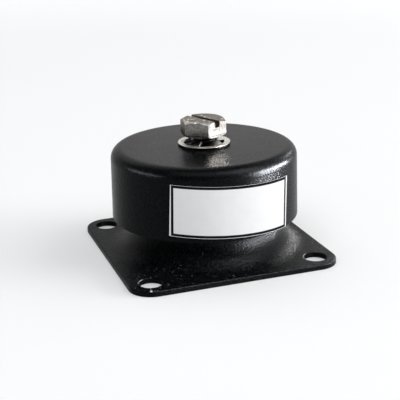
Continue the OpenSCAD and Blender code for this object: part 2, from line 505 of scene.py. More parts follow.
@dataclass(frozen=True)
class SatinBlackPaint(Finish):
    """Stoved black paint: almost black, satin, with a fine sprayed grain."""

    name: str
    colour: Colour = (0.0017, 0.0020, 0.0024)
    index: float = 1.13
    gloss_low: float = 0.25
    gloss_high: float = 0.30
    gloss_per_mm: float = 0.16
    grain_per_mm: float = 2.4
    grain_depth: float = 0.03
    grain_gloss: float = 0.08
    gloss_span: Span = (0.3, 0.7)
    grain_tone: float = 2.6
    tone_span: Span = (0.45, 0.7)
    peel_per_mm: float = 1.1
    peel_depth: float = 0.04
    edge_round: float = 0.12

    def start(self) -> Recipe:
        """Sprays the paint.

        Returns:
            The paint's recipe.
        """
        mix = Recipe(self.name)
        wave = mix.noise(self.gloss_per_mm)
        grain = mix.noise(self.grain_per_mm, 2.5, 0.6)
        peel = mix.lift(mix.noise(self.peel_per_mm, 1.0), self.peel_depth, mix.rounding(self.edge_round))
        broad = mix.plus(self.gloss_low, mix.times(wave, self.gloss_high - self.gloss_low))
        fine = mix.times(mix.minus(mix.between(grain, *self.gloss_span), 0.5), self.grain_gloss)
        tone = tuple(self.grain_tone * part for part in self.colour)
        mix.set(
            Base_Color=mix.blend(mix.between(grain, *self.tone_span), self.colour, tone),
            IOR=self.index,
            Roughness=mix.plus(broad, fine),
            Normal=mix.lift(grain, self.grain_depth, peel),
        )
        return mix


@dataclass(frozen=True)
class DustyPlatePaint(Finish):
    """The base plate's paint, with dust by its front corner, a chip at a hole, and painted glints: bright upper
    edges at two hole rims and a corner.
    """

    paint: SatinBlackPaint
    dust_colour: Colour = (0.42, 0.44, 0.46)
    coarse_per_mm: float = 1.25
    coarse_size: Span = (0.09, 0.17)
    coarse_share: float = 0.85
    fine_per_mm: float = 2.4
    fine_size: Span = (0.14, 0.26)
    fine_share: float = 0.2
    dust_slant: float = 0.35
    dust_front: Span = (-24.0, -16.0)
    patch_per_mm: float = 0.8
    patch_span: Span = (0.42, 0.6)
    bare_and_glint_colour: Colour = (0.8, 0.8, 0.8)
    chip_start: Span = (-20.8, -22.6)
    chip_end: Span = (-21.15, -24.35)
    chip_width: float = 0.09
    chip_share: float = 0.4
    chip_spot: float = 0.34
    chip_ragged: float = 0.2
    ragged_per_mm: float = 2.0
    chip_from: Span = (-0.05, 0.1)
    # Spots as X, Y and reach, where the upper edges get a painted glint.
    worn_and_glints: tuple[Point, ...] = ((17.6, -18.7, 1.9), (-22.0, -18.4, 1.6), (24.3, -23.8, 2.2))
    glint_width: float = 0.3
    glint_per_mm: float = 1.6
    glint_span: Span = (0.1, 0.45)
    upper_edge: Span = (0.8, 0.95)
    face: Span = (1.1, 1.2)
    neck: Span = (1.6, 4.0)
    neck_dull: float = 0.03

    def start(self) -> Recipe:
        """Lays dust, the chip and the painted glints over the paint.

        Returns:
            The plate's recipe.
        """
        mix = self.paint.start()
        mix.cover(self._dust(mix), self.dust_colour)
        # The chip is bare metal; the painted glints take the same bright colour.
        mix.cover(mix.step("MAXIMUM", self._chip(mix), self._painted_glints(mix)), self.bare_and_glint_colour)
        gloss = mix.shader.inputs["Roughness"].links[0].from_socket
        mix.set(Roughness=mix.plus(gloss, mix.times(mix.between(mix.z, *self.neck), self.neck_dull)))
        return mix

    def _dust(self, mix: Recipe) -> Socket:
        """Finds the settled dust, coarse and fine, on the plate's front.

        Args:
            mix: The plate's recipe.

        Returns:
            The mask, from 0 to 1.
        """
        coarse = mix.times(mix.below(mix.cells(self.coarse_per_mm), *self.coarse_size), self.coarse_share)
        fine = mix.times(mix.below(mix.cells(self.fine_per_mm), *self.fine_size), self.fine_share)
        near = mix.below(mix.plus(mix.y, mix.times(mix.x, self.dust_slant)), *self.dust_front)
        shown = mix.between(mix.noise(self.patch_per_mm, 0.0), *self.patch_span)
        return mix.times(mix.step("MAXIMUM", coarse, fine), near, shown, mix.between(mix.z, *self.face))

    def _painted_glints(self, mix: Recipe) -> Socket:
        """Finds the painted glints: upper edges painted bright near spots given as X, Y and reach.

        Args:
            mix: The plate's recipe.

        Returns:
            The mask, from 0 to 1.
        """
        near = 0.0
        for spot_x, spot_y, reach in self.worn_and_glints:
            near = mix.plus(near, mix.below(mix.away((spot_x, spot_y)), 0.5 * reach, reach))
        patchy = mix.between(mix.noise(self.glint_per_mm), *self.glint_span)
        return mix.times(near, mix.edges(self.glint_width), mix.between(mix.z, *self.upper_edge), patchy)

    def _chip(self, mix: Recipe) -> Socket:
        """Finds the thin scratch and the bare spot at its end.

        Args:
            mix: The plate's recipe.

        Returns:
            The mask, from 0 to 1.
        """
        start, end = Vector(self.chip_start), Vector(self.chip_end)
        long = (end - start).length
        way = (end - start) / long
        dx, dy = mix.minus(mix.x, start.x), mix.minus(mix.y, start.y)
        along = mix.plus(mix.times(dx, way.x), mix.times(dy, way.y))
        across = mix.step("ABSOLUTE", mix.minus(mix.times(dx, way.y), mix.times(dy, way.x)))
        off = mix.ragged(across, self.ragged_per_mm, 2.0, self.chip_ragged)
        thin = mix.below(off, 0.6 * self.chip_width, self.chip_width)
        inside = mix.times(mix.between(along, *self.chip_from), mix.step("LESS_THAN", along, long))
        far = mix.ragged(mix.away(self.chip_end), self.ragged_per_mm, 2.0, self.chip_ragged)
        spot = mix.below(far, 0.7 * self.chip_spot, self.chip_spot)
        bare = mix.step("MAXIMUM", mix.times(thin, inside, self.chip_share), spot)
        return mix.times(bare, mix.between(mix.z, *self.upper_edge))


@dataclass(frozen=True)
class WornSteel(Finish):
    """Plated or turned steel with blotches, fine scratches and rubbed edges."""

    name: str
    colour: Colour
    dark: Colour
    gloss: float = 0.36
    blotch_share: float = 0.35
    blotch_per_mm: float = 0.9
    tone_span: Span = (0.36, 0.62)
    scratch: Point = (1.0, 1.0, 1.0)
    scratch_per_mm: float = 4.0
    scratch_gloss: float = 0.25
    depth: float = 0.006
    edge_round: float = 0.06
    edge_tint: Colour = (1.0, 1.0, 1.0)
    wear: float = 0.0
    wear_width: float = 0.16
    wear_span: Span = (0.35, 0.6)
    wear_colour: Colour = (0.85, 0.83, 0.8)

    def start(self) -> Recipe:
        """Mixes the steel.

        Returns:
            The steel's recipe.
        """
        mix = Recipe(self.name)
        blotch = mix.noise(self.blotch_per_mm, 3.0, 0.6)
        lines = mix.noise(self.scratch_per_mm, 3.0, 0.65, along=self.scratch)
        mixed = mix.plus(mix.times(blotch, self.blotch_share), mix.times(lines, 1 - self.blotch_share))
        mix.set(
            Base_Color=mix.blend(mix.between(mixed, *self.tone_span), self.dark, self.colour),
            Metallic=1.0,
            Specular_Tint=(*self.edge_tint, 1.0),
            Roughness=mix.plus(self.gloss, mix.times(mix.minus(lines, 0.5), self.scratch_gloss)),
            Normal=mix.lift(lines, self.depth, mix.rounding(self.edge_round)),
        )
        if self.wear > 0:
            rubbed = mix.times(mix.edges(self.wear_width), mix.between(blotch, *self.wear_span), self.wear)
            mix.cover(rubbed, self.wear_colour)
        return mix


@dataclass(frozen=True)
class OilyShadedWasherSteel(Finish):
    """Washer steel with black between its teeth, for oily dirt and painted shade under the screw head, less of
    it on the right side that faces the lamps, and black painted shade down its outer side.
    """

    steel: WornSteel
    oil_and_shade: Colour = (0.012, 0.011, 0.010)
    inner_share: float = 0.8
    right_less_shade: float = 0.75
    right_span: Span = (0.0, 3.0)
    shade_inside_r: float = 4.9
    side_shade_top: float = 26.33
    ragged: float = 0.5
    soft: float = 0.05

    def start(self) -> Recipe:
        """Lays the oily dirt and the painted shade over the steel.

        Returns:
            The washer's recipe.
        """
        mix = self.steel.start()
        # Painted shade: the dark between the teeth fades out towards the right, where the lamps are.
        share = mix.minus(self.inner_share, mix.times(mix.between(mix.x, *self.right_span), self.right_less_shade))
        radius = mix.ragged(mix.away(), 2.5, 2.0, self.ragged)
        inner = mix.below(radius, self.shade_inside_r - self.ragged, self.shade_inside_r)
        # Painted shade down the outer side, below the top face.
        side = mix.below(mix.z, self.side_shade_top - self.soft, self.side_shade_top + self.soft)
        mix.cover(mix.step("MAXIMUM", mix.times(inner, share), side), self.oil_and_shade)
        return mix


@dataclass(frozen=True)
class ShadedHeadSteel(Finish):
    """Screw head steel with bright dents on top, a dark brown line a little above its foot, and dark brown
    painted shade in its slot.
    """

    steel: WornSteel
    oil_and_shade: Colour = (0.045, 0.03, 0.018)
    line_height: float = 28.72
    line_width: Span = (0.04, 0.22)
    line_ragged: float = 0.35
    line_share: float = 0.6
    slot_turn_deg: float = 113.3
    slot_half: Span = (0.72, 0.8)
    slot_from: Span = (30.45, 30.55)
    slot_share: float = 0.85
    top: Span = (31.8, 31.9)
    dent: Colour = (0.95, 0.93, 0.9)
    dents_per_mm: float = 0.75
    dent_size: Span = (0.16, 0.3)

    def start(self) -> Recipe:
        """Lays the dents, the dark line and the slot's painted shade over the steel.

        Returns:
            The head's recipe.
        """
        mix = self.steel.start()
        turn = math.radians(self.slot_turn_deg)
        off = mix.step("ABSOLUTE", mix.minus(mix.ragged(mix.z, 1.8, 3.0, self.line_ragged), self.line_height))
        line = mix.times(mix.below(off, *self.line_width), self.line_share)
        across = mix.minus(mix.times(mix.x, math.sin(turn)), mix.times(mix.y, math.cos(turn)))
        # Painted shade inside the slot.
        slot = mix.below(mix.step("ABSOLUTE", across), *self.slot_half)
        inside = mix.between(mix.z, *self.slot_from)
        dents = mix.below(mix.cells(self.dents_per_mm), *self.dent_size)
        mix.cover(mix.times(dents, mix.between(mix.z, *self.top)), self.dent)
        mix.cover(mix.step("MAXIMUM", line, mix.times(slot, inside, self.slot_share)), self.oil_and_shade)
        return mix


@dataclass(frozen=True)
class OversprayedSteel(Finish):
    """Turned steel whose top end was painted over together with the cap."""

    steel: WornSteel
    paint: Colour
    painted_from: Span
    ragged: float = 0.3

    def start(self) -> Recipe:
        """Lays the paint over the steel's top end.

        Returns:
            The core's recipe.
        """
        mix = self.steel.start()
        edge = mix.plus(mix.z, mix.times(mix.noise(1.5), self.ragged))
        over = mix.between(edge, *self.painted_from)
        mix.cover(over, self.paint)
        mix.set(Metallic=mix.minus(1.0, over))
        return mix


@dataclass(frozen=True)
class MouldedRubber(Finish):
    """Matt black moulded rubber with a faint bloom."""

    name: str
    colour: Colour = (0.012, 0.012, 0.013)
    bloom: Colour = (0.03, 0.03, 0.031)
    gloss: float = 0.62
    depth: float = 0.01
    edge_round: float = 0.15

    def start(self) -> Recipe:
        """Mixes the rubber.

        Returns:
            The rubber's recipe.
        """
        mix = Recipe(self.name)
        grain = mix.noise(6.0)
        mix.set(
            Base_Color=mix.blend(mix.between(mix.noise(0.4, 3.0), 0.4, 0.75), self.colour, self.bloom),
            Roughness=mix.plus(self.gloss, mix.times(grain, 0.2)),
            Normal=mix.lift(grain, self.depth, mix.rounding(self.edge_round)),
            IOR=1.45,
        )
        return mix


@dataclass(frozen=True)
class LabelFoil(Finish):
    """White coated foil with a very faint print grain."""

    name: str
    colour: Colour = (0.83, 0.835, 0.84)
    shade: Colour = (0.812, 0.817, 0.822)
    gloss: float = 0.38
    depth: float = 0.0015

    def start(self) -> Recipe:
        """Mixes the foil's coat.

        Returns:
            The foil's recipe.
        """
        mix = Recipe(self.name)
        grain = mix.noise(7.0)
        mix.set(
            Base_Color=mix.blend(mix.between(mix.noise(0.5), 0.3, 0.7), self.shade, self.colour),
            Roughness=mix.plus(self.gloss, mix.times(grain, 0.12)),
            Normal=mix.lift(grain, self.depth),
            IOR=1.4,
        )
        return mix


@dataclass(frozen=True)
class PrintedLine(Finish):
    """Black ink of the label's border, slightly uneven."""

    name: str
    colour: Colour = (0.002, 0.002, 0.0025)
    thin: Colour = (0.008, 0.008, 0.009)
    gloss: float = 0.45

    def start(self) -> Recipe:
        """Mixes the ink.

        Returns:
            The ink's recipe.
        """
        mix = Recipe(self.name)
        uneven = mix.noise(2.4, 3.0)
        mix.set(
            Base_Color=mix.blend(mix.between(uneven, 0.5, 0.8), self.colour, self.thin),
            Roughness=mix.plus(self.gloss, mix.times(uneven, 0.15)),
            IOR=1.2,
        )
        return mix


@dataclass(frozen=True)
class TablePaper(Finish):
    """White paper of the table, which shows as white where no shadow falls on it."""

    name: str
    colour: Colour = (0.9, 0.9, 0.9)
    shade: float = 0.985
    lift_white: float = 0.07
    lift_far: float = 0.9
    far_span: Span = (250.0, 1500.0)

    def start(self) -> Recipe:
        """Mixes the paper, with more white to the eye the farther it lies from the mount.

        Returns:
            The paper's recipe.
        """
        mix = Recipe(self.name)
        eye = mix.node("LightPath", {}).outputs["Is Camera Ray"]
        lift = mix.plus(self.lift_white, mix.times(mix.between(mix.away(), *self.far_span), self.lift_far))
        shaded = tuple(self.shade * part for part in self.colour)
        mix.set(
            Base_Color=mix.blend(mix.noise(0.02), shaded, self.colour),
            Roughness=0.9,
            Emission_Color=(1.0, 1.0, 1.0, 1.0),
            Emission_Strength=mix.times(eye, lift),
            IOR=1.2,
        )
        return mix


# Sub-assemblies.


def dress(finish: Finish, *nodes: str) -> None:
    """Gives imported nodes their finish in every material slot.

    Args:
        finish: The finish.
        nodes: The nodes' names.
    """
    material = finish.made()
    for node in nodes:
        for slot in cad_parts[node].material_slots:
            slot.material = material
        LOG.info("dressed %s in %s", node, material.name)


def hand_over(piece: Piece, body: Optional[Body], slot: Slot, finish: Finish, crease_deg: float,
              *nodes: str) -> None:
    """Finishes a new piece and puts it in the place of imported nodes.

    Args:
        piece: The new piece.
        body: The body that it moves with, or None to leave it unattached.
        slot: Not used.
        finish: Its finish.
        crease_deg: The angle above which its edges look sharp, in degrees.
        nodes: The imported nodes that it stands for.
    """
    soft_shade(piece, crease_deg)
    piece.data.materials.clear()
    piece.data.materials.append(finish.made())
    if body:
        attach(piece, body.value)
    if nodes:
        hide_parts(*nodes)
    LOG.info("made %s with %d faces", piece.name, len(piece.data.polygons))


@dataclass
class PressedBase:
    """The pressed base plate with the rings and stops that stay with it."""

    paint: DustyPlatePaint
    zinc: WornSteel
    rubber: MouldedRubber

    def build(self) -> None:
        """Dresses the base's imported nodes."""
        dress(self.paint, "base_plate")
        dress(self.zinc, "lower_ring")
        dress(self.rubber, "bump_stop", "rebound_ring")


@dataclass
class BellCap:
    """The drawn cap with the core, ring, washer and nut that hang from it."""

    paint: SatinBlackPaint
    core: OversprayedSteel
    zinc: WornSteel

    def build(self) -> None:
        """Dresses the cap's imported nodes."""
        dress(self.paint, "cap")
        dress(self.core, "core")
        dress(self.zinc, "upper_ring", "rebound_washer", "core_nut")


@dataclass
class RubberSpring:
    """The rubber cone between the two bonded rings, with its mould seam."""

    rubber: MouldedRubber
    low_h: float = 15.5
    high_h: float = 23.6
    bore_r: float = 10.5
    low_r: float = 13.8
    high_r: float = 16.98
    waist: float = 1.552
    seam_rise: float = 0.18
    seam_half: float = 0.16
    rows: int = 40
    bore_rows: int = 8
    steps: int = 144
    crease_deg: float = 40.0

    def section(self) -> list[Span]:
        """Draws the closed section with the hollow curve and the seam half way up.

        Returns:
            The section's corners as radius and height.
        """
        tall = self.high_h - self.low_h
        curve = []
        for i in range(self.rows + 1):
            share = i / self.rows
            straight = self.low_r + (self.high_r - self.low_r) * share
            off = abs(share - 0.5) * tall
            seam = self.seam_rise * max(0.0, 1 - (off / self.seam_half) ** 2)
            curve.append((straight - self.waist * 4 * share * (1 - share) + seam, self.low_h + tall * share))
        rows = range(self.bore_rows + 1)
        return curve + [(self.bore_r, self.high_h - tall * i / self.bore_rows) for i in rows]

    def build(self) -> None:
        """Makes the spring in the place of its plain node."""
        piece = turned("rubber_cone", self.section(), self.steps)
        hand_over(piece, None, Slot.RUBBER, self.rubber, self.crease_deg, "rubber_spring")
        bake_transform(piece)


@dataclass
class LoadScrew:
    """The slotted hexagon screw, only started in its thread."""

    steel: ShadedHeadSteel
    oily_shaded: WornSteel
    under_h: float = 28.3
    top_h: float = 32.0
    flats: float = 9.8
    turn_deg: float = -36.7
    bevel_inset: float = 0.3
    bevel_deg: float = 30.0
    bevel_steps: int = 144
    foot_out: float = 0.25
    foot_slope: float = 0.6
    spare: float = 1.0
    slot_w: float = 1.5
    slot_depth: float = 1.4
    slot_turn_deg: float = 113.3
    worn_edge: float = 0.11
    worn_steps: int = 3
    worn_from_deg: float = 24.0
    length: float = 14.0
    pitch: float = 1.0
    crest_r: float = 2.95
    crest_span: Span = (0.0, 0.12)
    root_r: float = 2.42
    root_span: Span = (0.5, 0.62)
    tip_less: float = 0.15
    lead_in: float = 0.6
    overlap: float = 0.05
    steps: int = 60
    crease_deg: float = 28.0

    def head(self) -> Piece:
        """Makes the head with its turned-off corners, its slot and softly rounded, rubbed edges.

        Returns:
            The head.
        """
        half = self.flats / 2
        corner = half / math.cos(math.radians(30))
        turns = [math.radians(self.turn_deg) + math.radians(60) * i for i in range(6)]
        hexagon = [polar(corner, turn, 0)[:2] for turn in turns]
        made = prism("load_screw_head", hexagon, self.under_h, self.top_h)
        wide, foot, bevel_r = corner + self.spare, half + self.foot_out, half - self.bevel_inset
        drop = (wide - bevel_r) * math.tan(math.radians(self.bevel_deg))
        form = [
            (0, self.under_h), (foot, self.under_h), (wide, self.under_h + (wide - foot) * self.foot_slope),
            (wide, self.top_h - drop), (bevel_r, self.top_h), (0, self.top_h),
        ]
        carve(made, turned("bevel_form", form, self.bevel_steps), "INTERSECT")
        spin = Matrix.Rotation(math.radians(self.slot_turn_deg), 2)
        outline = [tuple(spin @ Vector(at)) for at in oblong(2 * self.flats, self.slot_w / 2)]
        slot = prism("slot_form", outline, self.top_h - self.slot_depth, self.top_h + self.spare)
        carve(made, slot, "DIFFERENCE")
        soften = made.modifiers.new("worn_and_glints", "BEVEL")
        soften.width, soften.segments = self.worn_edge * MM, self.worn_steps
        soften.limit_method, soften.angle_limit = "ANGLE", math.radians(self.worn_from_deg)
        settle(made)
        return made

    def thread(self) -> Piece:
        """Makes the threaded shank as one helix, closed at both ends.

        Returns:
            The shank.
        """
        low = self.under_h - self.length
        rise = [(share, self.crest_r) for share in self.crest_span]
        rise += [(share, self.root_r) for share in self.root_span]
        rows = (int(self.length / self.pitch) + 2) * len(rise) + 1
        thin = self.root_r - self.tip_less
        points: list[Point] = []
        for row in range(rows):
            whole, part = divmod(row, len(rise))
            share, radius = rise[part]
            for j in range(self.steps):
                height = low - self.pitch + (whole + share + j / self.steps) * self.pitch
                tip = thin + (self.crest_r - thin) * min(1.0, max(0.0, (height - low) / self.lead_in))
                height = min(max(height, low), self.under_h + self.overlap)
                points.append(polar(min(radius, tip), 2 * math.pi * j / self.steps, height))
        faces = []
        for here in range((rows - 1) * self.steps):
            last = (here + 1) % self.steps == 0
            after = here + 1 + (self.steps * (len(rise) - 1) if last else 0)
            if after + self.steps < len(points):
                faces.append([here, after, after + self.steps, here + self.steps])
        made = forge("load_screw_thread", points, faces)

        def close(bm: bmesh.types.BMesh) -> None:
            """Closes the two open ends."""
            bmesh.ops.holes_fill(bm, edges=[edge for edge in bm.edges if edge.is_boundary], sides=0)
            tidy_mesh(bm)

        with_bmesh(made, close)
        return made

    def build(self) -> None:
        """Makes the screw in the place of its plain node."""
        hand_over(self.head(), Body.CAP, Slot.SCREW, self.steel, self.crease_deg, "load_screw")
        hand_over(self.thread(), Body.CAP, Slot.SCREW, self.oily_shaded, self.crease_deg)


@dataclass
class ToothLockWasher:
    """The spring steel washer with twisted inward teeth, lying on the cap."""

    steel: OilyShadedWasherSteel
    seat_h: float = 25.8
    outer_r: float = 6.2
    ring_w: float = 1.35
    thick: float = 0.6
    tip_r: float = 3.15
    root_in: float = 0.45
    width: float = 2.2
    flare: float = 0.5
    flare_reach: float = 0.45
    twist_deg: float = 22.0
    twist_from: float = 0.1
    twist_over: float = 0.75
    teeth: int = 5
    first_deg: float = -64.0
    ring_rolled: float = 0.07
    tooth_rolled: float = 0.1
    play_x: float = 0.15
    rows: int = 14
    steps: int = 160
    crease_deg: float = 40.0

    def ring(self) -> Piece:
        """Makes the stamped ring with its rolled edges.

        Returns:
            The ring.
        """
        inner, low, high = self.outer_r - self.ring_w, self.seat_h, self.seat_h + self.thick
        corners = [(inner, low), (self.outer_r, low), (self.outer_r, high), (inner, high)]
        return turned("washer_ring", rounded(corners, self.ring_rolled), self.steps)

    def tooth(self, turn: float) -> Piece:
        """Makes one tooth, which widens into the ring and twists towards its tip.

        Args:
            turn: The tooth's place round the load axis, in radians.

        Returns:
            The tooth as a closed shell.
        """
        root_r = self.outer_r - self.ring_w + self.root_in
        half_t = self.thick / 2
        spin = Matrix.Rotation(turn, 3, "Z")
        points: list[Point] = []
        for i in range(self.rows + 1):
            share = i / self.rows
            ease = min(1.0, max(0.0, (share - self.twist_from) / self.twist_over))
            twist = math.radians(self.twist_deg) * ease * ease * (3 - 2 * ease)
            half_w = (self.width + self.flare * max(0.0, 1 - share / self.flare_reach) ** 2) / 2
            lift = self.seat_h + half_w * math.sin(twist) + half_t * math.cos(twist)
            shape = rounded(oblong(half_w, half_t), self.tooth_rolled, 2)
            for across, up in shape:
                y = across * math.cos(twist) - up * math.sin(twist)
                z = across * math.sin(twist) + up * math.cos(twist)
                points.append(tuple(spin @ Vector((root_r + (self.tip_r - root_r) * share, y, lift + z))))
        count = len(shape)
        ends = [list(range(count)), list(range(len(points) - count, len(points)))]
        return forge("washer_tooth", points, quads(self.rows + 1, count) + ends)

    def build(self) -> None:
        """Makes the washer in the place of its plain node."""
        turns = [math.radians(self.first_deg + 360 / self.teeth * i) for i in range(self.teeth)]
        piece = joined("lock_washer_stamped", [self.ring()] + [self.tooth(turn) for turn in turns])
        with_bmesh(piece, lambda bm: bmesh.ops.translate(bm, verts=bm.verts, vec=(self.play_x * MM, 0, 0)))
        hand_over(piece, Body.CAP, Slot.WASHER, self.steel, self.crease_deg, "tooth_lock_washer")


@dataclass
class BareLabel:
    """The bare foil label, stuck on slightly crooked, with its printed border.

    Its outlines are four corners, from lower left by lower right and upper right to upper
    left, each as the places across and up the label, from -1 to 1.
    """

    foil: LabelFoil
    ink: PrintedLine
    cap_d: float = 44.4
    mid_h: float = 17.45
    draft_deg: float = 0.9
    width: float = 30.05
    height: float = 12.02
    glue: float = 0.005
    thick: float = 0.12
    rim_h: float = 9.1
    rim_gap: float = 0.03
    tilt_deg: float = 2.6
    turn_deg: float = -1.05
    left_rise: float = 0.15
    margin_top: float = 0.03
    margin_foot: float = 0.1
    left_top: float = 0.15
    left_foot: float = 0.38
    right_top: float = 0.6
    right_foot: float = 0.4
    line_w: float = 0.6
    ink_sunk: float = 0.01
    ink_rise: float = 0.012
    columns: int = 96
    rows: int = 12
    crease_deg: float = 40.0

    def spot(self, across: float, up: float, rise: float) -> Point:
        """Finds a point of the label.

        Args:
            across: The place across the label, from -1 to 1.
            up: The place up the label, from -1 to 1.
            rise: The height over the cap's surface.

        Returns:
            The point.
        """
        tilt = math.radians(self.tilt_deg)
        half_turn = self.width / self.cap_d
        tall = self.height * math.cos(tilt) + self.cap_d * math.sin(half_turn) * math.sin(tilt)
        flat_x = self.cap_d / 2 * math.sin(across * half_turn)
        flat_z = up * self.height / 2
        x = flat_x * math.cos(tilt) + flat_z * math.sin(tilt)
        z = -flat_x * math.sin(tilt) + flat_z * math.cos(tilt) + self.rim_h + self.rim_gap + tall / 2
        radius = self.cap_d / 2 + (self.mid_h - z) * math.tan(math.radians(self.draft_deg)) + rise
        return polar(radius, math.asin(x / radius) - math.pi / 2 + math.radians(self.turn_deg), z)

    def patch(self, name: str, low: float, high: float, outline: Sequence[Span]) -> Piece:
        """Makes a curved plate on the cap's side.

        Args:
            name: The plate's name.
            low: The height of its underside over the cap.
            high: The height of its face over the cap.
            outline: Its corners.

        Returns:
            The plate as a closed shell.
        """
        low_left, low_right, high_right, high_left = (Vector(corner) for corner in outline)
        columns = max(1, round(self.columns * (low_right - low_left).length / 2))
        rows = max(1, round(self.rows * (high_left - low_left).length / 2))
        points: list[Point] = []
        for i in range(columns + 1):
            foot = low_left.lerp(low_right, i / columns)
            head = high_left.lerp(high_right, i / columns)
            line = [foot.lerp(head, j / rows) for j in range(rows + 1)]
            points += [self.spot(*at, low) for at in line] + [self.spot(*at, high) for at in reversed(line)]
        ring = 2 * (rows + 1)
        ends = [[start + j, start + j + 1, start + ring - 2 - j, start + ring - 1 - j]
                for start in (0, columns * ring) for j in range(rows)]
        return forge(name, points, quads(columns + 1, ring) + ends)

    def frame_corners(self, inset: float) -> list[Span]:
        """Finds the corners of the printed frame, whose sides lean against the foil's.

        Args:
            inset: How far inside the frame's outer edge they lie.

        Returns:
            The outline.
        """
        half_w, half_h = self.width / 2, self.height / 2
        foot = -1 + (self.margin_foot + inset) / half_h
        head = 1 - (self.margin_top + inset) / half_h
        return [
            (-1 + (self.left_foot + inset) / half_w, foot + self.left_rise / half_h),
            (1 - (self.right_foot + inset) / half_w, foot),
            (1 - (self.right_top + inset) / half_w, head),
            (-1 + (self.left_top + inset) / half_w, head),
        ]

    def border(self) -> Piece:
        """Makes the printed border as four thin strips with mitred corners.

        Returns:
            The border.
        """
        low, high = self.thick - self.ink_sunk, self.thick + self.ink_rise
        outer, inner = self.frame_corners(0.0), self.frame_corners(self.line_w)
        outlines = {
            "line_foot": [outer[0], outer[1], inner[1], inner[0]],
            "line_head": [inner[3], inner[2], outer[2], outer[3]],
            "line_left": [outer[0], inner[0], inner[3], outer[3]],
            "line_right": [inner[1], outer[1], outer[2], inner[2]],
        }
        strips = [self.patch(name, low, high, outline) for name, outline in outlines.items()]
        return joined("label_border", strips)

    def build(self) -> None:
        """Makes the label in the place of its plain node, and prints its border."""
        outline = [(-1, -1 + 2 * self.left_rise / self.height), (1, -1), (1, 1), (-1, 1)]
        foil = self.patch("label_bare", self.glue, self.thick, outline)
        hand_over(foil, Body.CAP, Slot.LABEL, self.foil, self.crease_deg, "label")
        hand_over(self.border(), Body.CAP, Slot.LABEL, self.ink, self.crease_deg)


# Studio.

# A flat lamp's watts for each square metre and each unit of its radiance.
WATTS = 4.0
DAYLIGHT: Colour = (0.9, 0.94, 1.0)
WARM: Colour = (1.0, 0.985, 0.965)


def bearing(azimuth_deg: float, elevation_deg: float) -> Vector:
    """Returns the direction away from the mount at an azimuth and an elevation."""
    rise = math.radians(elevation_deg)
    return Vector(polar(math.cos(rise), math.radians(azimuth_deg), math.sin(rise)))


@dataclass(frozen=True)
class Lamp:
    """A flat lamp that faces the mount. A mirrored one stands for a lamp's image in the table."""

    name: str
    azimuth: float
    elevation: float
    wide: float
    tall: float
    radiance: float
    on: Shine = Shine.ALL
    colour: Colour = (1.0, 1.0, 1.0)
    mirrored: bool = False
    distance: float = 1.6
    aim: Point = (0.0, 0.0, 0.015)

    def build(self, groups: dict[Shine, bpy.types.Collection]) -> None:
        """Hangs the lamp at its bearing and turns it to the mount.

        Args:
            groups: The pieces that a lamp can shine on alone. Only the mount casts shadows
                from a mirrored lamp.
        """
        back = bearing(self.azimuth, self.elevation)
        light = bpy.data.lights.new(self.name, "AREA")
        light.shape, light.size, light.size_y = "RECTANGLE", self.wide, self.tall
        light.energy = WATTS * self.radiance * self.wide * self.tall
        light.color = self.colour
        lamp = linked(self.name, light)
        lamp.location = Vector(self.aim) + back * self.distance
        lamp.rotation_mode = "QUATERNION"
        lamp.rotation_quaternion = (-back).to_track_quat("-Z", "Y")
        lamp.visible_camera = False
        if self.on is not Shine.ALL:
            lamp.visible_diffuse = False
            lamp.light_linking.receiver_collection = groups[self.on]
        if self.mirrored:
            light.cycles.use_multiple_importance_sampling = False
            lamp.light_linking.blocker_collection = groups[Shine.MOUNT]
        LOG.info("hung lamp %s", self.name)


LAMPS = (
    Lamp("window", -24, 9, 0.68, 0.26, 21.0),
    Lamp("right_fill", -25, 40, 1.3, 1.1, 1.12),
    Lamp("back_fill", 10, 40, 1.3, 1.1, 0.52),
    Lamp("left_fill", 100, 50, 1.3, 1.1, 0.98),
    Lamp("front_fill", -120, 60, 1.3, 1.1, 1.74),
    Lamp("cap_window", -3, 8, 0.42, 0.28, 282.0, Shine.CAP, DAYLIGHT),
    Lamp("cap_window_mid", -19, 9, 0.42, 0.28, 202.0, Shine.CAP, DAYLIGHT),
    Lamp("cap_window_left", -35, 9, 0.42, 0.3, 217.0, Shine.CAP, DAYLIGHT),
    Lamp("cap_window_mirrored", -16, -5, 0.42, 0.28, 68.8, Shine.CAP, DAYLIGHT, mirrored=True),
    Lamp("cap_window_left_mirrored", -32, -5, 0.42, 0.28, 245.0, Shine.CAP, DAYLIGHT, mirrored=True),
    Lamp("cap_table_mirrored", -25, -14, 1.0, 0.24, 24.3, Shine.CAP, DAYLIGHT, mirrored=True),
    Lamp("cap_window_top", -22, 19, 0.8, 0.28, 39.8, Shine.CAP, DAYLIGHT),
    Lamp("cap_upper", -45, 50, 1.0, 1.0, 7.35, Shine.CAP, DAYLIGHT),
    Lamp("cap_right_high", 30, 20, 0.4, 0.25, 9.31, Shine.CAP, DAYLIGHT),
    Lamp("cap_back", 50, 22, 1.5, 0.5, 0.405, Shine.CAP, WARM),
    Lamp("cap_left", 174, 12, 1.25, 0.28, 18.0, Shine.CAP, DAYLIGHT),
    Lamp("base_window", -33, 10, 0.5, 0.35, 169.0, Shine.BASE, DAYLIGHT),
    Lamp("base_upper", -45, 60, 1.0, 0.6, 46.2, Shine.BASE, DAYLIGHT),
    Lamp("base_right", -19, 8, 0.5, 0.35, 25.0, Shine.BASE, DAYLIGHT),
    Lamp("base_right_mirrored", 10, -5, 0.5, 0.3, 75.0, Shine.BASE, DAYLIGHT, mirrored=True),
    Lamp("base_back", 49, 18, 0.3, 0.25, 22.0, Shine.BASE, WARM),
    Lamp("base_front_mirrored", -72, -10, 0.9, 0.4, 8.93, Shine.BASE, DAYLIGHT, mirrored=True),
    Lamp("steel_shine", -25, 29, 0.45, 0.26, 170.0, Shine.STEEL),
    Lamp("steel_window_mirrored", -25, -18, 0.8, 0.45, 0.5, Shine.STEEL, mirrored=True),
    Lamp("steel_upper", -90, 78, 1.3, 1.1, 2.0, Shine.STEEL),
)


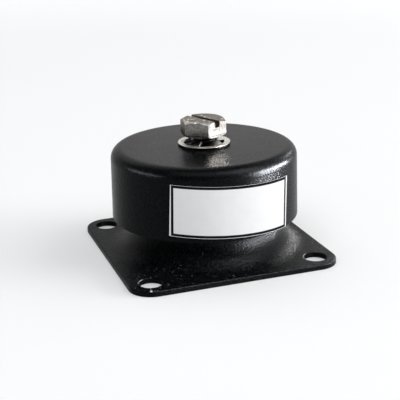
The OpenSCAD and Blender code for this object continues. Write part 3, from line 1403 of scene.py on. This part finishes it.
@dataclass(frozen=True)
class Studio:
    """White table, white surroundings and soft lamps."""

    paper: TablePaper
    lamps: tuple[Lamp, ...]
    steel: tuple[str, ...] = ("load_screw_head", "lock_washer_stamped")
    table_half: float = 3000.0
    table_drop: float = 0.02
    sky_diffuse: float = 0.31
    sky_colour: Colour = (0.95, 0.975, 1.0)
    room_bearing: float = -112.0
    room_rise: float = 50.0
    room_grey: float = 0.12
    paper_white: float = 0.8
    room_half_deg: float = 60.0
    white_from_deg: float = 104.0

    def build(self) -> None:
        """Lays the table, sets the world and hangs the lamps."""
        corners = [(x, y, -self.table_drop) for x, y in oblong(self.table_half, self.table_half)]
        table = forge("table", corners, [[0, 1, 2, 3]])
        table.data.materials.append(self.paper.made())
        self._sky()
        lit = {
            Shine.MOUNT: [piece for piece in bpy.data.objects if piece.type == "MESH" and piece != table],
            Shine.CAP: [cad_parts["cap"]],
            Shine.BASE: [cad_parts["base_plate"]],
            Shine.STEEL: [bpy.data.objects[name] for name in self.steel],
        }
        groups = {kind: bpy.data.collections.new(kind.value) for kind in lit}
        for kind, pieces in lit.items():
            for piece in pieces:
                groups[kind].objects.link(piece)
        for lamp in self.lamps:
            lamp.build(groups)

    def _sky(self) -> None:
        """Makes the world white to the eye, a darker room in reflections, and soft as a light."""
        world = bpy.data.worlds.new("studio_white")
        bpy.context.scene.world = world
        world.use_nodes = True
        world.node_tree.nodes.clear()
        net = Wiring(world.node_tree)
        rays = net.node("LightPath", {}).outputs
        eye = rays["Is Camera Ray"]
        where = net.node("TexCoord", {}).outputs["Generated"]
        inside = bearing(self.room_bearing, self.room_rise)
        toward = net.node("VectorMath", {0: where, 1: inside}, operation="DOT_PRODUCT").outputs["Value"]
        white_from = math.cos(math.radians(self.white_from_deg))
        grey_from = math.cos(math.radians(self.room_half_deg))
        room = net.between(toward, white_from, grey_from, self.paper_white, self.room_grey)
        shown = net.node("Background", {0: (1.0, 1.0, 1.0, 1.0), 1: net.step("MAXIMUM", room, eye)})
        light = net.node("Background", {0: (*self.sky_colour, 1.0), 1: self.sky_diffuse})
        mirrored = net.step("MAXIMUM", rays["Is Glossy Ray"], rays["Is Transmission Ray"])
        seen = net.step("MAXIMUM", eye, mirrored)
        mixed = net.node("MixShader", {0: seen, 1: light.outputs[0], 2: shown.outputs[0]})
        net.node("OutputWorld", {0: mixed.outputs[0]})


@dataclass(frozen=True)
class PhotoCamera:
    """The camera, fitted to the outlines of the cap, the plate and its holes.

    Its distance and shifts are in units of the cap's radius, and its angles in radians.
    """

    unit: float = 22.2
    yaw: float = -0.3299
    pitch: float = 0.3277
    roll: float = -0.0239
    distance: float = 10.6624
    shift_x: float = 0.0635
    shift_y: float = -0.4959
    focal_px: float = 962.5
    frame_px: float = 400.0
    sensor: float = 36.0
    near: float = 0.01
    far: float = 50.0

    def build(self) -> None:
        """Sets up the camera and makes it the scene's own."""
        level, rise = math.cos(self.pitch), math.sin(self.pitch)
        back = Vector((math.sin(self.yaw) * level, -math.cos(self.yaw) * level, rise))
        right = Vector((math.cos(self.yaw), math.sin(self.yaw), 0.0))
        up = back.cross(right)
        level_x = math.cos(self.roll) * right + math.sin(self.roll) * up
        level_y = -math.sin(self.roll) * right + math.cos(self.roll) * up
        data = bpy.data.cameras.new("photo_camera")
        data.sensor_width = self.sensor
        data.lens = self.focal_px / self.frame_px * self.sensor
        data.clip_start, data.clip_end = self.near, self.far
        camera = linked("photo_camera", data)
        turn = Matrix((level_x, level_y, back)).transposed().to_4x4()
        away = self.distance * back - self.shift_x * level_x - self.shift_y * level_y
        turn.translation = away * self.unit * MM
        camera.matrix_world = turn
        bpy.context.scene.camera = camera


# The whole mount.


def main() -> None:
    """Builds the studio and the mount."""
    logging.basicConfig(level=logging.INFO, format="%(name)s: %(message)s")
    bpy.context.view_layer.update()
    bpy.context.scene.view_settings.view_transform = "Standard"
    PhotoCamera().build()

    cap_paint = SatinBlackPaint("satin_black_paint")
    base_paint = SatinBlackPaint("base_black_paint", (0.0008, 0.0010, 0.0012), index=1.115, gloss_low=0.30,
                                 gloss_high=0.35, grain_per_mm=2.2, grain_depth=0.1, grain_gloss=0.14,
                                 grain_tone=9.0, edge_round=0.2)
    zinc = WornSteel("dull_zinc", (0.55, 0.54, 0.5), (0.4, 0.39, 0.36), gloss=0.42)
    core_steel = WornSteel("turned_core", (0.5, 0.49, 0.47), (0.33, 0.32, 0.3), scratch=(1.0, 1.0, 14.0))
    screw_steel = WornSteel("screw_steel", (0.42, 0.4, 0.375), (0.17, 0.155, 0.14), gloss=0.34, edge_round=0.04,
                            edge_tint=(0.45, 0.42, 0.39), scratch_per_mm=3.0, depth=0.02, wear=0.8)
    # Near black thread: oily dirt and painted shade, for the shade it lies in under the head.
    oily_shaded_steel = WornSteel("oiled_thread", (0.045, 0.04, 0.035), (0.012, 0.011, 0.01), gloss=0.4)
    washer_steel = WornSteel("washer_steel", (0.84, 0.82, 0.77), (0.42, 0.395, 0.365), gloss=0.38,
                             edge_round=0.03, scratch_per_mm=3.0, depth=0.015, wear=0.7, wear_width=0.12)

    PressedBase(DustyPlatePaint(base_paint), zinc, MouldedRubber("moulded_rubber")).build()
    BellCap(cap_paint, OversprayedSteel(core_steel, (0.004, 0.004, 0.005), (25.2, 25.3)), zinc).build()
    RubberSpring(MouldedRubber("spring_rubber")).build()
    LoadScrew(ShadedHeadSteel(screw_steel), oily_shaded_steel).build()
    ToothLockWasher(OilyShadedWasherSteel(washer_steel)).build()
    BareLabel(LabelFoil("label_foil_white"), PrintedLine("label_ink")).build()
    Studio(TablePaper("table_paper"), LAMPS).build()


if __name__ == "__main__":
    main()
